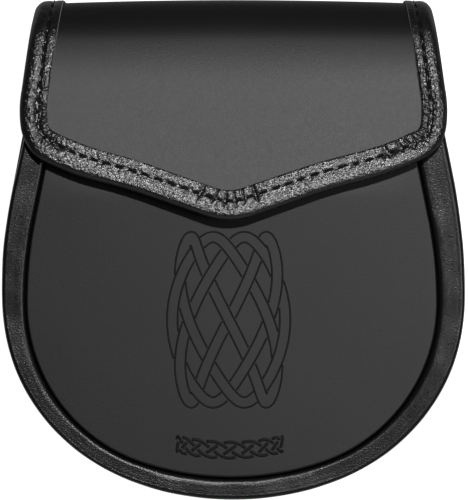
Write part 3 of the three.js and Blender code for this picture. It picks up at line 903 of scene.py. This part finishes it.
def keeper_profile():
    """The keeper's outer face in profile, as Y and Z, with its bends rounded."""
    def under_back(y):
        return (y, back_z(y) - GAP - KEEPER["thickness"])

    end = BRIDGE_Y + KEEPER["bridge"]
    low = KEEPER["low_y"]
    corners = [
        under_back(low), under_back(low + KEEPER["tab"]), (BRIDGE_Y, 0.0), (end, 0.0),
        under_back(end + KEEPER["ramp"]), under_back(end + KEEPER["ramp"] + KEEPER["tab"]),
    ]
    line = resample(np.array(corners), 1.0)
    for _ in range(3):
        line[1:-1] = (line[:-2] + 2 * line[1:-1] + line[2:]) / 4
    return resample(line, 0.8)


def strap_keeper(material):
    profile = keeper_profile()
    up = turned_left(unit(np.gradient(profile, axis=0)))
    radius, half = KEEPER["edge_radius"], KEEPER["half_width"]
    across = np.linspace(-half + radius, half - radius, 30)[1:-1]
    side = [(half - inset, height) for inset, height in rounded_edge(KEEPER["thickness"], radius)]
    section = [(x, 0.0) for x in across] + side
    section += [(x, -KEEPER["thickness"]) for x in reversed(across)]
    section += [(-x, height) for x, height in reversed(side)]
    x, depth = np.array(section).T * [[1], [-1]]
    y, z = profile.T[..., None] + up.T[..., None] * depth
    rows = columns(np.broadcast_to(x, y.shape), y, z)
    return make_object("keeper_leather", rows, loft(rows), [material])


def keeper_stitches(material):
    """Two rows of stitches across each of the keeper's tabs."""
    stitches = []
    far_tab = BRIDGE_Y + KEEPER["bridge"] + KEEPER["ramp"]
    for tab_y in (KEEPER["low_y"], far_tab):
        for row_y in (tab_y + KEEPER_SEAM["inset"], tab_y + KEEPER["tab"] - KEEPER_SEAM["inset"]):
            face_z = back_z(row_y) - GAP - KEEPER["thickness"]
            for start in np.arange(-KEEPER["half_width"] + 3, KEEPER["half_width"] - 5, STITCH["pitch"]):
                x, dip = stitch(start, KEEPER_SEAM)
                line = columns(x, np.full_like(x, row_y), face_z - KEEPER_SEAM["height"] + dip)
                stitches.append((line, np.tile([0.0, 0.0, -1.0], (len(x), 1))))
    return stitching("keeper_stitches", stitches, material)


def stud_cap(material):
    """A round cap with a bevelled rim and a dished top."""
    sunk = float(bulge(0.0, STUD["y"]))
    radius, height, bevel = STUD["radius"], STUD["height"] - sunk, STUD["bevel"]
    profile = [(radius - 0.2, 0.0), (radius, 0.2), (radius, height - bevel)]
    for turn in np.linspace(0, math.pi / 2, 7)[1:]:
        profile.append((radius - bevel + bevel * math.cos(turn), height - bevel + bevel * math.sin(turn)))
    profile += [(radius * 0.55, height), (radius * 0.5, height - 0.25), (0.4, height - 0.3)]
    base = front_z(STUD["y"]) + GAP + sunk
    turn = np.linspace(0, 2 * np.pi, 48, endpoint=False)
    r, z = np.array(profile).T[..., None]
    rows = columns(r * np.cos(turn), STUD["y"] + r * np.sin(turn), base + z + 0 * turn)
    return make_object("stud_cap", rows, loft(rows), [material])


# Materials


class Nodes:
    """The node tree of a material or a world, with short calls for what they share."""

    def __init__(self, owner, coordinates):
        owner.use_nodes = True
        self.tree = owner.node_tree
        self.where = self.tree.nodes.new("ShaderNodeTexCoord").outputs[coordinates]

    def node(self, kind, links, **settings):
        made = self.tree.nodes.new(kind)
        for key, value in settings.items():
            setattr(made, key, value)
        for socket, source in links.items():
            if isinstance(source, bpy.types.NodeSocket):
                self.tree.links.new(source, made.inputs[socket])
            else:
                made.inputs[socket].default_value = source
        return made

    def spread(self, source, low, high, from_low=0.0, from_high=1.0):
        links = {"Value": source, "From Min": from_low, "From Max": from_high, "To Min": low, "To Max": high}
        return self.node("ShaderNodeMapRange", links).outputs["Result"]

    def combined(self, operation, first, second):
        return self.node("ShaderNodeMath", {0: first, 1: second}, operation=operation).outputs[0]


class Shader(Nodes):
    """A material, with the constants of its surface."""

    def __init__(self, name, **constants):
        self.material = bpy.data.materials.new(name)
        super().__init__(self.material, "Object")
        self.surface = self.tree.nodes["Principled BSDF"]
        for socket, value in constants.items():
            self.surface.inputs[socket.replace("_", " ")].default_value = value

    def noise(self, size, detail):
        links = {"Vector": self.where, "Scale": 1 / (size * MM), "Detail": detail}
        return self.node("ShaderNodeTexNoise", links).outputs["Fac"]

    def creases(self, size):
        """0 along the lines between cells, rising to 1 away from them."""
        links = {"Vector": self.where, "Scale": 1 / (size * MM)}
        cells = self.node("ShaderNodeTexVoronoi", links, feature="DISTANCE_TO_EDGE")
        return self.spread(cells.outputs["Distance"], 0.0, 1.0, 0.0, 0.18)

    def tint(self, share, dark, light):
        mix = self.node("ShaderNodeMix", {}, data_type="RGBA")
        factor, first, second = (socket for socket in mix.inputs if socket.enabled)
        self.tree.links.new(share, factor)
        first.default_value = (*dark, 1)
        second.default_value = (*light, 1)
        return next(socket for socket in mix.outputs if socket.enabled)

    def made(self, colour, roughness, relief, depth):
        """The material, with its surface linked up. The relief is as deep as the depth in millimetres."""
        links = {"Height": relief, "Distance": depth * MM, "Strength": 1.0}
        normal = self.node("ShaderNodeBump", links).outputs["Normal"]
        for socket, source in (("Base Color", colour), ("Roughness", roughness), ("Normal", normal)):
            self.tree.links.new(source, self.surface.inputs[socket])
        return self.material


# The dyed leathers: their darkest and lightest tone, their least and most roughness, the size and depth of
# their cellular grain and of their pores and, where it isn't usual, their specular level and their IOR
NEW_DYE = ((0.006, 0.006, 0.0063), (0.008, 0.008, 0.0083))
WORN_DYE = ((0.007, 0.007, 0.0073), (0.010, 0.010, 0.0103))
LEATHERS = {
    "smooth_leather": (NEW_DYE, (0.45, 0.47), (0.8, 0.013), (0.3, 0.007)),
    "front_panel_leather": (NEW_DYE, (0.46, 0.48), (0.8, 0.011), (0.3, 0.008)),
    "soft_leather": (NEW_DYE, (0.27, 0.30), (0.9, 0.02), (0.3, 0.012)),
    "grained_leather": (WORN_DYE, (0.26, 0.32), (0.8, 0.035), (0.7, 0.06), 0.8, 1.6),
    "strap_leather": (WORN_DYE, (0.4, 0.5), (1.0, 0.02), (0.25, 0.005)),
}


def leather(name, tones, rough, grain, pores, specular=0.5, ior=1.5):
    """A dyed leather: two near tones in clouds, a cellular grain over fine pores, and uneven gloss."""
    shader = Shader(name, Specular_IOR_Level=specular, IOR=ior)
    pore_share = pores[1] / grain[1]
    fine = shader.spread(shader.noise(pores[0], 3.0), -pore_share, pore_share)
    relief = shader.combined("ADD", shader.creases(grain[0]), fine)
    gloss = shader.spread(shader.noise(1.5, 3.0), *rough, 0.3, 0.7)
    return shader.made(shader.tint(shader.noise(24.0, 3.0), *tones), gloss, relief, grain[1])


def mottled(name, size, detail, tones, rough, depth, specular):
    """A plain material with one noise in its tone, its gloss and its relief."""
    shader = Shader(name, Specular_IOR_Level=specular)
    noise = shader.noise(size, detail)
    return shader.made(shader.tint(noise, *tones), shader.spread(noise, *rough), noise, depth)


def raw_edge_painted_highlight():
    """The raw cut edge of a dyed leather, made pale grey so that it paints a highlight line along the
    binding's inner edge and lightens the shade on that steep wall.
    """
    return mottled("raw_edge_painted_highlight", 0.6, 4.0, ((0.12, 0.12, 0.12), (0.28, 0.28, 0.28)), (0.6, 0.8), 0.05, 0.3)


def flesh_side():
    """The unfinished inside of the leather."""
    shader = Shader("flesh_side", Specular_IOR_Level=0.2)
    nap = shader.noise(0.6, 5.0)
    dye = shader.tint(shader.noise(5.0, 4.0), (0.012, 0.012, 0.013), (0.024, 0.024, 0.025))
    return shader.made(dye, shader.spread(nap, 0.8, 0.95), nap, 0.15)


def waxed_thread():
    tones = ((0.003, 0.003, 0.003), (0.008, 0.008, 0.009))
    return mottled("waxed_thread", 0.35, 3.0, tones, (0.6, 0.85), 0.05, 0.2)


def scorched_line():
    """Leather that is burnt dark and dull."""
    tones = ((0.005, 0.005, 0.005), (0.010, 0.010, 0.010))
    return mottled("scorched_line", 0.5, 3.0, tones, (0.55, 0.75), 0.03, 0.25)


def enamelled_metal():
    tones = ((0.015, 0.015, 0.017), (0.025, 0.025, 0.027))
    return mottled("enamelled_metal", 1.5, 4.0, tones, (0.25, 0.4), 0.01, 0.5)


# The stage, in metres

LIT_POINT = Vector((0.0, 0.0, 0.03))


def table_top():
    """A pale table lit from inside: the camera sees its face, and the leather reflects a dimmer, smaller
    sheet under it."""
    face = table_sheet("table_face", half_width=6.0, height=0.0, emission=1.05)
    face.visible_glossy = False
    face.visible_diffuse = False
    glow = table_sheet("table_glow", half_width=0.17, height=-0.002, emission=0.28)
    glow.visible_camera = False


def table_sheet(name, half_width, height, emission):
    mesh = bpy.data.meshes.new(name)
    corners = [(x * half_width, y * half_width, height) for x, y in ((-1, -1), (1, -1), (1, 1), (-1, 1))]
    mesh.from_pydata(corners, [], [(0, 1, 2, 3)])
    glow = {"Emission_Color": (1, 1, 1, 1), "Emission_Strength": emission}
    shader = Shader(name, Roughness=0.6, Specular_IOR_Level=0.0, Base_Color=(0.5, 0.5, 0.5, 1), **glow)
    mesh.materials.append(shader.material)
    sheet = add_object(name, mesh)
    return sheet


def lamp(name, off_axis, azimuth, distance, size, watts):
    """A round lamp that faces the pouch. It stands off the camera's axis, turned from +Y towards +X."""
    light = bpy.data.lights.new(name, "AREA")
    light.shape = "DISK"
    light.size = size
    light.energy = watts
    off, turned = math.radians(off_axis), math.radians(azimuth)
    direction = Vector((math.sin(off) * math.sin(turned), math.sin(off) * math.cos(turned), math.cos(off)))
    made = add_object(name, light)
    made.location = LIT_POINT + direction.normalized() * distance
    made.rotation_euler = direction.to_track_quat("Z", "Y").to_euler()


def surroundings():
    """A dim room, paler low down, palest below the pouch and dark above it."""
    world = bpy.data.worlds.new("studio")
    bpy.context.scene.world = world
    room = Nodes(world, "Generated")
    _, y, z = room.node("ShaderNodeSeparateXYZ", {0: room.where}).outputs
    low_down, above = room.spread(z, 0.02, 0.4, 0.85, 0.45), room.spread(y, 1.0, 0.04, 0.2, 0.6)
    sides = room.combined("MULTIPLY", low_down, above)
    both = room.combined("ADD", sides, room.spread(y, 0.0, 5.0, -0.55, -0.9))
    room.tree.links.new(both, room.tree.nodes["Background"].inputs["Strength"])


def camera():
    data = bpy.data.cameras.new("camera")
    data.sensor_width = CAMERA["sensor"]
    reach = (CAMERA["height"] - CAMERA["sharp_z"]) / (max(PHOTO_SIZE) * MM_PER_PIXEL)
    data.lens = CAMERA["sensor"] * reach
    data.clip_end = 100
    made = add_object("camera", data)
    made.location = Vector((*CAMERA["centre"], CAMERA["height"])) * MM
    bpy.context.scene.camera = made


def pieces():
    """Each piece, with its material slot and the node that it stands for, if any."""
    smooth, front, soft, grained, strap = (leather(name, *look) for name, look in LEATHERS.items())
    flesh, wax = flesh_side(), waxed_thread()
    return [
        (back_and_flap(smooth, flesh), "smooth_leather", "back_flap_panel"),
        (back_stitches(wax), "soft_leather"),
        (flap_binding(grained, raw_edge_painted_highlight()), "grained_leather", "flap_binding"),
        (binding_stitches(wax), "grained_leather"),
        (gusset_band(soft), "soft_leather", "gusset"),
        (front_leather(front, flesh), "smooth_leather", "front_panel"),
        (front_ornament(scorched_line()), "smooth_leather"),
        (strap_keeper(strap), "strap_leather", "strap_keeper"),
        (keeper_stitches(wax), "strap_leather"),
        (stud_cap(enamelled_metal()), "stud_metal", "closure_stud"),
    ]


def main():
    camera()
    bpy.context.scene.view_settings.view_transform = "Standard"
    for piece, slot, *nodes in pieces():
        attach(piece, "root")
        if nodes:
            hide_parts(*nodes)
    table_top()
    lamp("key_light", off_axis=22, azimuth=16, distance=2.4, size=0.1, watts=31.0)
    lamp("side_light", off_axis=36, azimuth=95, distance=0.8, size=0.3, watts=1.1)
    surroundings()


main()
